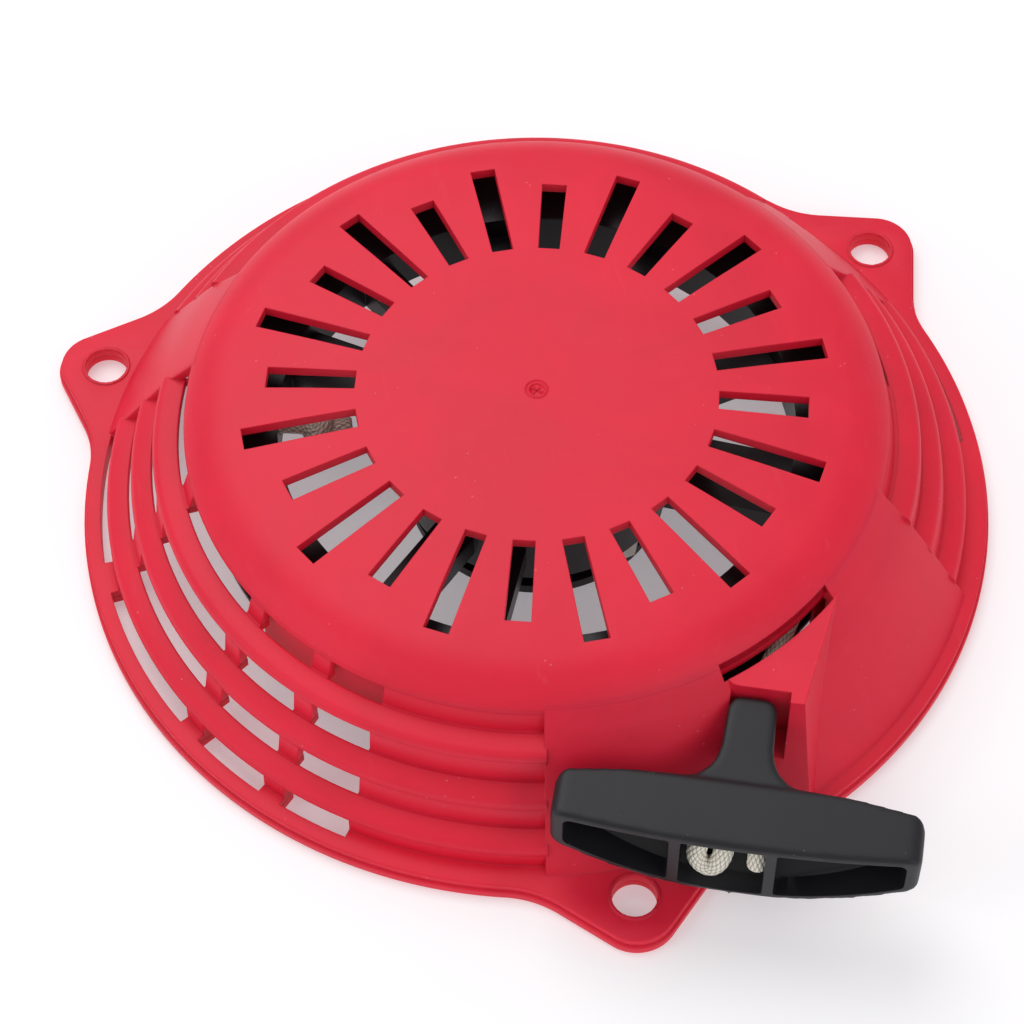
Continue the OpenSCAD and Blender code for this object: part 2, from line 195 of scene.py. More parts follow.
def turned(points, first=0.0, last=360.0, density=1.875):
    """A solid turned round Z from a closed outline in the XZ plane, whole or between two angles."""
    obj = outline(points, "XZ")
    sweep = last - first
    edit(obj)
    if sweep >= 360:
        bpy.ops.mesh.delete(type="ONLY_FACE")
        bpy.ops.mesh.select_all(action="SELECT")
    steps = max(3, round(sweep / density))
    bpy.ops.mesh.spin(steps=steps, angle=math.radians(sweep), center=(0, 0, 0), axis=(0, 0, -1))
    done()
    mend(obj)
    return turn(obj, first)


def raised(points, low, high):
    """A prism over an outline in the XY plane."""
    obj = outline(points)
    edit(obj)
    bpy.ops.mesh.extrude_region_move(TRANSFORM_OT_translate={"value": (0, 0, (high - low) * MM)})
    done()
    mend(obj)
    return shift(obj, z=low)


def drafted(top, bottom, low, high):
    """A solid between two outlines of as many corners at different heights."""
    obj = raised(top, low, high)
    for vertex in obj.data.vertices:
        if vertex.co.z < (low + high) / 2 * MM:
            nearest = min(range(len(top)), key=lambda i: (point(top[i], "XY").xy - vertex.co.xy).length)
            vertex.co.xy = point(bottom[nearest], "XY").xy
    return obj


def rod(radius, low, high, sides):
    """A round bar round Z."""
    clear()
    bpy.ops.mesh.primitive_cylinder_add(
        vertices=sides, radius=radius * MM, depth=(high - low) * MM, location=(0, 0, (low + high) / 2 * MM)
    )
    obj = bpy.context.object
    bpy.ops.object.transform_apply(location=True, rotation=True, scale=True)
    return obj


def block(low, high):
    """A box between two corners."""
    corners = ((low[0], low[1]), (high[0], low[1]), (high[0], high[1]), (low[0], high[1]))
    return raised(corners, low[2], high[2])


def apply_modifier(obj, kind, **settings):
    pick(obj)
    modifier = obj.modifiers.new(kind.lower(), kind)
    for name, value in settings.items():
        setattr(modifier, name, value)
    bpy.ops.object.modifier_apply(modifier=modifier.name)
    return obj


def cut(obj, tool, operation="DIFFERENCE"):
    """Cuts the tool from the object, or joins or keeps what they share, and uses the tool up."""
    apply_modifier(obj, "BOOLEAN", operation=operation, object=tool, solver="EXACT")
    bpy.data.objects.remove(tool)
    return obj


def soften(obj, width, segments, angle):
    apply_modifier(
        obj, "BEVEL", width=width * MM, segments=segments, limit_method="ANGLE",
        angle_limit=math.radians(angle), use_clamp_overlap=True,
    )
    return obj


def join(*objs):
    pick(*objs)
    bpy.ops.object.join()
    return bpy.context.object


def smooth(obj, angle):
    pick(obj)
    bpy.ops.object.shade_smooth_by_angle(angle=math.radians(angle))
    return obj


def piece(obj, name, body, material, replaces):
    """Names a finished object, gives it its material and its body, and hides the CAD nodes it stands for."""
    obj.name = name
    obj.data.name = name
    obj.data.materials.clear()
    obj.data.materials.append(material)
    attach(obj, body)
    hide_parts(*replaces)
    return obj


# ---- Materials ----


class Field:
    """A value in a material's node tree, so that shader maths reads as plain arithmetic."""

    def __init__(self, paint, socket):
        self.paint = paint
        self.socket = socket

    def math(self, operation, *values):
        node = self.paint.node("ShaderNodeMath", {"operation": operation}, dict(enumerate(values)))
        return Field(self.paint, node.outputs[0])

    def __add__(self, other):
        return self.math("ADD", self, other)

    def __radd__(self, other):
        return self.math("ADD", other, self)

    def __sub__(self, other):
        return self.math("SUBTRACT", self, other)

    def __rsub__(self, other):
        return self.math("SUBTRACT", other, self)

    def __mul__(self, other):
        return self.math("MULTIPLY", self, other)

    def __pow__(self, other):
        return self.math("POWER", self, other)

    def sine(self):
        return self.math("SINE", self)

    def size(self):
        return self.math("ABSOLUTE", self)

    def band(self, low, high):
        """0 below low, 1 above high, and smooth between them."""
        smoothly = {"interpolation_type": "SMOOTHSTEP"}
        node = self.paint.node("ShaderNodeMapRange", smoothly, {0: self, 1: low, 2: high, 3: 0.0, 4: 1.0})
        return Field(self.paint, node.outputs[0])


class Paint:
    """One procedural material around a Principled shader."""

    def __init__(self, name, **fixed):
        self.material = bpy.data.materials.new(name)
        self.material.use_nodes = True
        self.tree = self.material.node_tree
        self.shader = self.tree.nodes["Principled BSDF"]
        for socket, value in fixed.items():
            self.shader.inputs[socket.replace("_", " ")].default_value = value
        self.coords = self.node("ShaderNodeTexCoord")

    def node(self, kind, settings=None, inputs=None):
        node = self.tree.nodes.new(kind)
        for name, value in (settings or {}).items():
            setattr(node, name, value)
        for key, value in (inputs or {}).items():
            if isinstance(value, Field):
                self.tree.links.new(value.socket, node.inputs[key])
            elif isinstance(value, bpy.types.NodeSocket):
                self.tree.links.new(value, node.inputs[key])
            else:
                node.inputs[key].default_value = value
        return node

    def noise(self, scale, detail=2.0, roughness=0.5, vector=None, distortion=0.0):
        node = self.node("ShaderNodeTexNoise", None, {
            "Vector": vector or self.coords.outputs["Object"], "Scale": scale, "Detail": detail,
            "Roughness": roughness, "Distortion": distortion,
        })
        return Field(self, node.outputs["Fac"])

    def cells(self, scale):
        """The distance to the nearest of many scattered points."""
        inputs = {"Vector": self.coords.outputs["Object"], "Scale": scale}
        return Field(self, self.node("ShaderNodeTexVoronoi", None, inputs).outputs["Distance"])

    def axes(self, output="Object"):
        node = self.node("ShaderNodeSeparateXYZ", None, {0: self.coords.outputs[output]})
        return [Field(self, socket) for socket in node.outputs]

    def stretched(self, scale):
        """Object coordinates that are squeezed along an axis where scale is over 1."""
        node = self.node("ShaderNodeMapping", None, {"Vector": self.coords.outputs["Object"], "Scale": scale})
        return node.outputs[0]

    def mix(self, share, one, other):
        """One colour where share is 0 and the other where it is 1."""
        node = self.node("ShaderNodeMix", {"data_type": "RGBA"}, {0: share, 6: one, 7: other})
        return node.outputs[2]

    def link(self, socket, value):
        source = value.socket if isinstance(value, Field) else value
        self.tree.links.new(source, self.shader.inputs[socket])

    def bump(self, height, distance, strength, edges=0.0):
        """Relief of a depth in millimetres, on edges that look rounded by the given radius."""
        inputs = {"Height": height, "Distance": distance * MM, "Strength": strength}
        if edges:
            inputs["Normal"] = self.node("ShaderNodeBevel", {"samples": 6}, {"Radius": edges * MM}).outputs[0]
        node = self.node("ShaderNodeBump", None, inputs)
        self.link("Normal", node.outputs[0])


def rgb(color, factor=1.0):
    return (color[0] * factor, color[1] * factor, color[2] * factor, 1.0)


def red_nylon(looks):
    """Moulded red plastic: fine grain, slow mottling from the melt's flow, pale specks and faint scuffs."""
    paint = Paint(
        "cover_red_nylon", IOR=1.45, Specular_IOR_Level=0.38, Subsurface_Weight=0.12, Subsurface_Scale=0.002
    )
    paint.shader.inputs["Subsurface Radius"].default_value = (1.0, 0.25, 0.2)
    red = looks.cover_color
    grain = paint.noise(2600, 2.0, 0.6)
    mottle = paint.noise(28, 4.0, 0.6, distortion=0.8)
    flow = paint.noise(60, 2.0, 0.5, vector=paint.stretched((1, 1, 6)))
    specks = 1 - paint.cells(420).band(0.05, 0.12)
    rare = paint.noise(90, 1.0).band(0.6, 0.66)
    scuffs = paint.noise(300, 3.0, 0.7, vector=paint.stretched((1, 0.08, 1))).band(0.62, 0.75)
    tone = paint.mix((mottle - 0.5) * 1.4 + 0.5, rgb(red, 0.87), rgb(red, 1.1))
    streak = rgb((red[0] * 1.05, red[1] * 1.8, red[2] * 1.7))
    tone = paint.mix(flow.band(0.45, 0.75) * 0.18, tone, streak)
    tone = paint.mix(specks * rare * 0.2, tone, (0.95, 0.5, 0.52, 1))
    tone = paint.mix(scuffs * 0.035, tone, (0.9, 0.35, 0.38, 1))
    paint.link("Base Color", tone)
    paint.link("Roughness", grain * 0.12 + mottle * 0.1 + 0.38 + scuffs * 0.08)
    paint.bump(grain * 0.55 + paint.noise(700, 2.0) * 0.45, 0.03, 0.75, edges=0.35)
    return paint.material


def black_nylon(looks, name="grip_black_nylon", gloss=0.36, edges=0.25):
    """Moulded black plastic: satin grain with lighter, rubbed patches."""
    paint = Paint(name, IOR=1.5, Specular_IOR_Level=0.36)
    black = looks.grip_color
    grain = paint.noise(2400, 2.0, 0.6)
    cloud = paint.noise(45, 3.0, 0.55)
    dust = (1 - paint.cells(700).band(0.04, 0.1)) * paint.noise(150, 1.0).band(0.6, 0.68)
    rubbed = paint.noise(18, 4.0, 0.6).band(0.5, 0.75)
    tone = paint.mix(cloud, rgb(black, 0.8), rgb(black, 1.25))
    tone = paint.mix(rubbed * 0.25, tone, rgb(black, 2.0))
    tone = paint.mix(dust * 0.5, tone, (0.3, 0.3, 0.32, 1))
    paint.link("Base Color", tone)
    paint.link("Roughness", grain * 0.12 + cloud * 0.1 + gloss)
    paint.bump(grain, 0.025, 0.7, edges=edges)
    return paint.material


def braided(looks):
    """Braided nylon: two families of strands that cross in the UV map, with painted shade in the grooves
    between them and slightly lighter crowns, fine fibres and soiled patches.
    """
    paint = Paint("braided_rope", IOR=1.5, Sheen_Weight=0.25, Sheen_Roughness=0.4)
    cream = looks.rope_color
    u, v, _ = paint.axes("UV")
    turns = 12 * math.pi
    one = (u * turns + v * turns).sine()
    other = (u * turns - v * turns).sine()
    strands = (one * other).size() ** 0.8
    fibres = paint.noise(3200, 3.0, 0.7)
    soil = paint.noise(160, 3.0, 0.6)
    # Painted shade: the grooves between the strands are painted at half the cream, and the strands' crowns a
    # little lighter
    tone = paint.mix(strands.band(0.0, 0.6), rgb(cream, 0.5), rgb(cream, 1.1))
    soiled = rgb((cream[0] * 0.62, cream[1] * 0.52, cream[2] * 0.36))
    tone = paint.mix(soil.band(0.5, 0.75) * 0.35, tone, soiled)
    paint.link("Base Color", tone)
    paint.link("Roughness", 0.45 + fibres * 0.3)
    paint.bump(strands * 0.8 + fibres * 0.2, 0.3, 0.9)
    return paint.material


def steel(name, color, gloss, brushed, oil=0.0):
    """Steel: brushed or ground marks along the strip, darker stains and worn, brighter spots."""
    paint = Paint(name, Metallic=1.0, IOR=2.2, Coat_Roughness=0.2)
    marks = paint.noise(900, 3.0, 0.7, vector=paint.stretched(brushed))
    stains = paint.noise(120, 4.0, 0.65)
    tone = paint.mix(stains.band(0.4, 0.7), rgb(color, 1.05), rgb(color, 0.72))
    tone = paint.mix(marks * 0.3, tone, rgb(color, 0.6))
    paint.link("Base Color", tone)
    paint.link("Roughness", marks * 0.18 + stains * 0.12 + gloss)
    paint.link("Coat Weight", stains.band(0.45, 0.6) * oil)
    paint.bump(marks, 0.02, 0.6, edges=0.15)
    return paint.material


FINISHES = {}


def finishes(looks):
    """The starter's materials by name, made once."""
    if not FINISHES:
        FINISHES.update({
            "red": red_nylon(looks),
            "grip": black_nylon(looks),
            "reel": black_nylon(looks, "reel_black_nylon", 0.26, 0.4),
            "guide": black_nylon(looks, "guide_black_nylon", 0.42, 0.3),
            "rope": braided(looks),
            "spring": steel("spring_steel_oiled", (0.42, 0.42, 0.43), 0.22, (1, 1, 40), 0.5),
            "zinc": steel("zinc_plated_steel", (0.66, 0.65, 0.58), 0.26, (20, 1, 1)),
            "brass": steel("turned_brass", (0.78, 0.56, 0.24), 0.2, (1, 1, 60)),
        })
    return FINISHES


# ---- Cover ----


def crown():
    """The round top with its gate mark and slots, and the post under it that the reel turns on."""
    gate = [
        (0.05, 40.1), (0.5, 40.15), (0.9, 40.05), (1.3, 40.0), (1.55, 40.1),
        (1.7, 40.46), (2.0, 40.49), (2.15, 40.25), (2.4, 40.2), (2.6, 40.5),
    ]
    top = [
        (20, 40.5), (37, 40.5), (50, 39.95), (66, 39.0), (68.6, 38.45), (70.6, 37.75),
        (72.4, 36.8), (73.9, 35.7), (75, 34.8), (75.7, 34.0),
    ]
    under = [
        (75.98, 32.5), (75.7, 32.2), (73.9, 32.2), (72.6, 33.6), (70.4, 35.1),
        (66, 36.5), (37, 38.1), (9.2, 38.1),
    ]
    post = [(9, 37.6), (9, 13.0), (8.6, 12.6), (4.6, 12.6), (4.2, 13.0), (4.2, 27.6), (0.05, 27.6)]
    obj = turned(gate + top + under + post)
    inner, outer = SLOT_HALVES
    slots = []
    for i in range(SLOTS):
        end = SLOT_ENDS[i % 2]
        tool = raised([(SLOT_START, -inner), (end, -outer), (end, outer), (SLOT_START, inner)], 30, 44)
        slots.append(turn(tool, 360 / SLOTS * i))
    cut(obj, join(*slots))
    cut(obj, exit_slit())
    return roughen_gate(obj)


def roughen_gate(obj):
    """Breaks up the torn centre of the gate mark, where each ring and ninth of a turn has its own height."""
    rough = random.Random(3)
    lumps = [rough.uniform(-0.3, 0.25) for _ in range(24)]
    for vertex in obj.data.vertices:
        radius = vertex.co.xy.length / MM
        if radius < 1.4 and vertex.co.z > 39 * MM:
            sector = int((math.atan2(vertex.co.y, vertex.co.x) / (2 * math.pi) + 0.5) * 8.99)
            ring = round(radius / 0.4)
            vertex.co.z += lumps[(sector + 7 * ring) % len(lumps)] * MM
    return obj


def spans(first, last):
    """The solid and open stretches of a step sector, as (first angle, last angle, open)."""
    at = first
    least = 0.3
    out = []
    for window in sorted(w for w in LOUVRES if first <= w[0] < last):
        if window[0] - at > least:
            out.append((at, window[0], False))
        out.append((window[0], min(window[1], last), True))
        at = window[1]
    if last - at > least:
        out.append((at, last, False))
    return out


def stretches(is_open):
    """The open or the solid stretches of all step sectors, as (first angle, last angle)."""
    return [(a, b) for sector in STEPS for a, b, gap in spans(*sector) if gap == is_open]


def ledges():
    """The three terraces: a band with a rounded outer edge, and its inner part between the louvre windows."""
    # Corners as (radius, height, rounding)
    bands = (
        (
            (77.5, 28.17, 0.4), (83.2, 27.5, 1.9), (83.3, 25.5, 0.25),
            (81.3, 25.5), (81, 26), (77.5, 26.3, 0.4),
        ),
        (
            (84, 19.83, 0.4), (88.7, 18.1, 1.9), (88.95, 15.9, 0.25),
            (86.9, 15.9), (86.6, 16.5), (84, 17.6, 0.4),
        ),
        (
            (89.9, 11.24, 0.4), (94.9, 9.7, 1.9), (94.95, 7.8, 0.25),
            (92.9, 7.8), (92.7, 8.2), (89.9, 9.2, 0.4),
        ),
    )
    # The flat inner parts, as (radius, height)
    shelves = (
        ((75.1, 28.2), (78.1, 28.1), (78.1, 26.3), (75.1, 26.3)),
        ((81.6, 19.9), (84.6, 19.6), (84.6, 17.4), (81.6, 17.7)),
        ((87.5, 11.3), (90.5, 11.05), (90.5, 9.1), (87.5, 9.2)),
    )
    made = [turned(rounded(band, 4), *span) for band in bands for span in STEPS]
    made += [turned(shelf, a, b, WALL_STEP) for a, b in stretches(False) for shelf in shelves]
    return made


def risers():
    """The solid parts of the risers between the louvre windows."""
    rows = (
        ((75.75, 33.2), (77.36, 28.0), (75.1, 28.0), (73.5, 33.2)),
        ((83.28, 25.8), (83.88, 19.7), (81.6, 19.7), (81.1, 25.8)),
        ((88.93, 16.2), (89.78, 11.1), (87.5, 11.1), (86.7, 16.2)),
        ((94.96, 8.2), (95.06, 3.6), (92.85, 3.6), (92.8, 8.2)),
    )
    made = [turned(row, a, b, SHORT_STEP) for a, b in stretches(False) for row in rows]
    return [soften(obj, 0.3, 2, 40) for obj in made]


def cone_section():
    """The plain wall's section between its outer skin and an inner one."""
    depth = 2.2
    inner = [(x - depth * 0.85, z - depth * 0.5) for x, z in CONE_CURVE]
    inner[0] = (95.6, 2.4)
    return [*CONE_CURVE, *reversed(inner), (97.6, 2.4)]


def exit_box(high):
    """The raised box over the rope, which widens downwards, up to a given height."""
    top = [(28.1, 70), (63.9, 65), (64, 61.5), (61.2, 50), (58, 46), (50, 40), (28, 60)]
    bottom = [(28.1, 74), (72, 68.8), (72.2, 61), (71, 50), (69.5, 43.5), (50, 40), (28, 60)]
    return place(drafted(top, bottom, 4.5, high), PULL_FRAME)


def rope_exit():
    """The plain sector of the wall with the box over the rope, the notch for the grip's neck and the slit."""
    box_top = 32
    wall = turned(cone_section(), *EXIT_CONE, WALL_STEP)
    cut(wall, exit_box(box_top), "UNION")
    hollow = raised([(28, 60), (28.1, 67.6), (59.4, 63.3), (59.4, 46.2), (48, 50)], 5, 29.8)
    cut(wall, place(hollow, PULL_FRAME))
    cut(wall, rod(74.2, 3, 32.2, 192))

    # Solid cheeks round the notch, trimmed to just under the skin of the wall and the box
    cheeks = place(block((59.4, PULL_V - 8.7, 14.8), (80, PULL_V + 8.9, 31.9)), PULL_FRAME)
    skin = [(x - 0.05, z - 0.02) for x, z in CONE_CURVE]
    trim = turned([(40, 3.2), *skin, (40, 34)], EXIT_CONE[0] + 0.5, EXIT_CONE[1] - 0.5, WALL_STEP)
    cut(trim, exit_box(box_top - 0.05), "UNION")
    cut(cheeks, trim, "INTERSECT")
    cut(wall, cheeks, "UNION")

    notch = block((61.5, PULL_V - 4.9, 17), (101.5, PULL_V + 7.4, 47))
    cut(wall, place(notch, PULL_FRAME))
    at_notch = Matrix.Translation(Vector((61, PULL_V, PULL_Z)) * MM)
    cut(wall, place(rod(2.8, -5, 5, 40), PULL_FRAME @ at_notch @ ALONG_X))
    cut(wall, exit_slit())
    return wall


def exit_slit():
    """The curved slit between the crown and the raised box, through which the rope shows."""
    return turned([(75.1, 20), (77.7, 20), (77.7, 40), (75.1, 40)], -71.7, -48.8, WALL_STEP)


def polar(radius, degrees, centre=(0, 0)):
    a = math.radians(degrees)
    return (centre[0] + radius * math.cos(a), centre[1] + radius * math.sin(a))


def arc(centre, radius, first, last, steps):
    return [polar(radius, first + (last - first) * i / steps, centre) for i in range(steps + 1)]


def ear_outline(inset):
    """One ear's outline from the flange round its tip and back, and half the angle that it takes up."""
    tip = BOLT_R + 2
    tip_r = 9
    fillet_r = 22
    # The fillet touches the flange and, at 45 degrees, the round tip
    total = tip + (tip_r + fillet_r) * math.sqrt(2)
    reach = FLANGE_R + fillet_r
    x = (total + math.sqrt(2 * reach * reach - total * total)) / 2
    y = total - x
    spread = math.degrees(math.atan2(y, x))
    half = arc((tip, 0), tip_r - inset, 0, 45, 10) + arc((x, y), fillet_r + inset, 225, 180 + spread, 14)
    return [(px, -py) for px, py in reversed(half[1:])] + half, spread


def plate(inset, low, high, edge):
    """The flange with its three ears as one flat plate with rounded edges."""
    ear, spread = ear_outline(inset)
    loop = []
    for angle in EARS:
        c, s = math.cos(math.radians(angle)), math.sin(math.radians(angle))
        loop += [(px * c - py * s, px * s + py * c) for px, py in ear]
        loop += arc((0, 0), FLANGE_R - inset, angle + spread + 1, angle + 120 - spread - 1, 56)
    loops = [loop, arc((0, 0), 92.2, 0, 358, 179)]
    loops += [arc(polar(BOLT_R, angle), HOLE_R, 0, 350, 35) for angle in EARS]
    data = bpy.data.curves.new("plate", "CURVE")
    data.dimensions = "2D"
    data.fill_mode = "BOTH"
    data.extrude = ((high - low) / 2 - edge) * MM
    data.bevel_depth = edge * MM
    data.bevel_resolution = 2
    data.offset = -edge * MM
    for points in loops:
        spline = data.splines.new("POLY")
        spline.points.add(len(points) - 1)
        for p, (px, py) in zip(spline.points, points):
            p.co = (px * MM, py * MM, 0, 1)
        spline.use_cyclic_u = True
    obj = bpy.data.objects.new("plate", data)
    bpy.context.scene.collection.objects.link(obj)
    pick(obj)
    bpy.ops.object.convert(target="MESH")
    obj = bpy.context.object
    mend(obj)
    shift(obj, z=(low + high) / 2)
    # Under the louvres only the outer part of the flange is left
    sill = [(90, -1), (96.8, -1), (96.8, 6), (90, 6)]
    return cut(obj, join(*[turned(sill, a, b, WALL_STEP) for a, b in stretches(True)]))


def stud_rims():
    """The low, uneven rims that the mould leaves round the stud holes."""
    section = rounded([(4.72, 3.8), (5.5, 3.8), (5.35, 4.3, 0.15), (4.72, 4.3, 0.15)], 3)
    made = []
    for angle in EARS:
        ring = turned(section, 0, 360, 7.5)
        rough = random.Random(angle)
        for vertex in ring.data.vertices:
            if vertex.co.z > 4.1 * MM:
                vertex.co.z += rough.uniform(-0.12, 0.08) * MM
        made.append(turn(shift(ring, x=BOLT_R), angle))
    return made


# ---- Grip, drawn in the pull frame with X along the pull line and Y across it ----


def arc_radius(half, rise):
    """The radius of an arc that rises by rise over a chord of twice half."""
    return (half * half + rise * rise) / (2 * rise)


GRIP_HALF = 74.4 / 2
GRIP_TOP = 30.8
GRIP_LOW = GRIP_TOP - 20.0
GRIP_FRONT = 98.0
GRIP_BACK = 81.6
# The underside bows down in the middle, and the front bows outwards
BELLY_R = arc_radius(GRIP_HALF, 8.4)
NOSE_R = arc_radius(GRIP_HALF, 2.2)
NECK_HALF = 5.0
GRIP_WALL = 1.8
WEB_HALF = 1.1
WEBS = (-11.8, 7.6)
POCKET_FLOOR = 86.5


def belly(y, radius):
    """The height of the underside, or of a curve inside it, at a place across the grip."""
    return GRIP_LOW + BELLY_R - math.sqrt(radius ** 2 - y * y)


def grip_bar():
    """The bar, which is what prisms over its plan, its face and its end section have in common."""
    across = [GRIP_HALF * (i / 12 - 1) for i in range(25)]
    nose = [(GRIP_FRONT - NOSE_R + math.sqrt(NOSE_R ** 2 - y * y), -y) for y in across]
    nose[0], nose[-1] = (*nose[0], 1.6), (*nose[-1], 1.6)
    plan = rounded([
        *nose, (GRIP_BACK + 3.6, -GRIP_HALF, 3.4), (GRIP_BACK + 1.4, -22), (GRIP_BACK, -8),
        (GRIP_BACK, 8), (GRIP_BACK + 1.4, 22), (GRIP_BACK + 3.6, GRIP_HALF, 3.4),
    ], 6)
    bar = raised(plan, 0, 60)
    under = [(y, belly(y, BELLY_R)) for y in across]
    under[0], under[-1] = (*under[0], 2.6), (*under[-1], 2.6)
    face = raised(rounded([*under, (GRIP_HALF, GRIP_TOP, 2.2), (-GRIP_HALF, GRIP_TOP, 2.2)], 5), 0, 120)
    cut(bar, place(face, FACING), "INTERSECT")
    section = raised([
        (GRIP_BACK, GRIP_TOP - 2), (GRIP_BACK + 2, GRIP_TOP), (GRIP_FRONT + 1, GRIP_TOP),
        (GRIP_FRONT + 1, GRIP_LOW), (GRIP_FRONT - 5, GRIP_LOW + 1), (GRIP_BACK + 7.5, GRIP_TOP - 13.2),
        (GRIP_BACK + 2.5, GRIP_TOP - 10.4), (GRIP_BACK, GRIP_TOP - 8),
    ], -GRIP_HALF - 1, GRIP_HALF + 1)
    return cut(bar, place(section, CROSSWISE), "INTERSECT")


def grip_neck():
    """The neck on the pull line, which flares out into the bar."""
    flare = (
        (62.4, -1.9), (63.1, -0.8), (64.6, 0), (74, 0.35), (77, 0.9),
        (79.5, 2.2), (81.5, 4.4), (83.2, 7.5), (86, 8),
    )
    side = [(x, NECK_HALF + out) for x, out in flare]
    return raised([(x, -y) for x, y in side] + side[::-1], PULL_Z - 5, PULL_Z + 5)


def grip_pockets():
    """The three pockets in the grip's front, as solids to cut out."""
    low_end, high_end = -GRIP_HALF + GRIP_WALL + 1, GRIP_HALF - GRIP_WALL - 1
    left_web, right_web = WEBS
    pockets = (
        (low_end, left_web - WEB_HALF),
        (left_web + WEB_HALF, right_web - WEB_HALF),
        (right_web + WEB_HALF, high_end),
    )
    tools = []
    for first, last in pockets:
        ys = [first + (last - first) * i / 10 for i in range(11)]
        rim = [(y, belly(y, BELLY_R - GRIP_WALL)) for y in ys]
        left = 1.8 if first < -GRIP_HALF / 2 else 0.7
        right = 1.8 if last > GRIP_HALF / 2 else 0.7
        shape = rounded([
            (first, rim[0][1], left), *rim[1:-1], (last, rim[-1][1], right),
            (last, GRIP_TOP - GRIP_WALL, right), (first, GRIP_TOP - GRIP_WALL, left),
        ], 4)
        tool = place(raised(shape, POCKET_FLOOR, 105), FACING)
        inside = raised([
            (POCKET_FLOOR, GRIP_TOP - 1), (105, GRIP_TOP - 1), (105, GRIP_LOW),
            (POCKET_FLOOR + 6.9, GRIP_LOW + 2.6), (POCKET_FLOOR + 2.4, GRIP_TOP - 12.2),
            (POCKET_FLOOR, GRIP_TOP - 10.5),
        ], -GRIP_HALF, GRIP_HALF)
        tools.append(cut(tool, place(inside, CROSSWISE), "INTERSECT"))
    return tools


# ---- Rope ----


def curve_through(points, spacing):
    """Points at even spacing on a smooth curve through the given ones."""
    ends = [2 * points[0] - points[1], *points, 2 * points[-1] - points[-2]]
    dense = []
    fine = 24
    for i in range(1, len(ends) - 2):
        a, b, c, d = ends[i - 1:i + 3]
        for k in range(fine):
            t = k / fine
            bend = (2 * a - 5 * b + 4 * c - d) * t * t
            twist = (3 * b - a - 3 * c + d) * t ** 3
            dense.append(0.5 * (2 * b + (c - a) * t + bend + twist))
    dense.append(points[-1])
    out, left = [dense[0]], spacing
    for one, two in zip(dense, dense[1:]):
        step = (two - one).length
        while left <= step:
            out.append(one.lerp(two, left / step))
            left += spacing
        left -= step
    if (out[-1] - dense[-1]).length > spacing * 0.3:
        out.append(dense[-1])
    return out


def cord(name, points, radius, sides, spacing, relief):
    """A rope through points in metres: a tube whose skin rises and falls with the braid's strands."""
    path = curve_through(points, spacing * MM)
    ahead = [(path[min(i + 1, len(path) - 1)] - path[max(i - 1, 0)]).normalized() for i in range(len(path))]
    side = ahead[0].orthogonal().normalized()
    vertices, faces, along = [], [], []
    strands = 6
    run = 0.0
    pitch = 2 * math.pi * radius
    for i, centre in enumerate(path):
        side = (side - ahead[i] * side.dot(ahead[i])).normalized()
        other = ahead[i].cross(side)
        run += (centre - path[i - 1]).length * 1000 if i else 0.0
        along.append(run / pitch)
        for k in range(sides):
            t = 2 * math.pi * k / sides
            one = math.sin(strands * t + strands * math.pi * run / pitch)
            two = math.sin(strands * t - strands * math.pi * run / pitch)
            size = radius * (1 - relief + relief * math.sqrt(abs(one * two)))
            if i in (0, len(path) - 1):
                size *= 0.82
            vertices.append(centre + (side * math.cos(t) + other * math.sin(t)) * size * MM)
    for i in range(len(path) - 1):
        for k in range(sides):
            a, b = i * sides + k, i * sides + (k + 1) % sides
            faces.append((a, b, b + sides, a + sides))
    last = (len(path) - 1) * sides
    faces.append(tuple(reversed(range(sides))))
    faces.append(tuple(range(last, last + sides)))
    mesh = bpy.data.meshes.new(name)
    mesh.from_pydata(vertices, [], faces)
    layer = mesh.uv_layers.new(name="along")
    for face in mesh.polygons:
        places = [divmod(mesh.loops[corner].vertex_index, sides) for corner in face.loop_indices]
        closes = len(places) == 4 and any(k == sides - 1 for _, k in places)
        for corner, (ring, k) in zip(face.loop_indices, places):
            u = 1.0 if closes and k == 0 else k / sides
            layer.data[corner].uv = (u, along[ring] / 2)
    obj = bpy.data.objects.new(name, mesh)
    bpy.context.scene.collection.objects.link(obj)
    smooth(obj, 60)
    edit(obj)
    bpy.ops.mesh.normals_make_consistent(inside=False)
    done()
    return obj


def pulled(u, dv, z):
    """A place in the pull frame, with dv from the pull line, in metres."""
    return PULL_FRAME @ (Vector((u, PULL_V + dv, z)) * MM)


def coil():
    """The turns on the reel, from the rope's exit inwards, in two layers that swing from side to side."""
    turns, steps = 5, 48
    start = math.radians(-31.9)
    points = []
    for i in range(turns * steps + 1):
        done_turns = i / steps
        angle = start + 2 * math.pi * done_turns
        layer = (turns - done_turns) / 2
        radius = 60.3 + 4.05 * min(layer, 1.52)
        swing = 0.5 - 0.5 * math.cos(math.pi * done_turns)
        points.append(Vector((radius * math.cos(angle), radius * math.sin(angle), 21.75 + 4.1 * swing)) * MM)
    return points


def reel_knot():
    """The knot in the reel's pocket, as (outwards, across, up) from the reel's axis at the rope's height."""
    route = (
        (57, 0, 0), (53, 0, 0), (50, 0.5, 0.3), (47.6, 2.2, 0.8), (46.2, 0.6, 2.4), (47.4, -1.9, 1.6),
        (49.4, -1.6, -0.6), (49.2, 0.6, -2.2), (46.6, 0.9, -1.2), (43.5, 0.2, 0.2), (40.2, -0.3, 0.4),
    )
    angle = math.radians(166)
    out = Vector((math.cos(angle), math.sin(angle), 0))
    across = Vector((-out.y, out.x, 0))
    up = Vector((0, 0, 1))
    return [out * a * MM + across * b * MM + up * (23.8 + c) * MM for a, b, c in route]


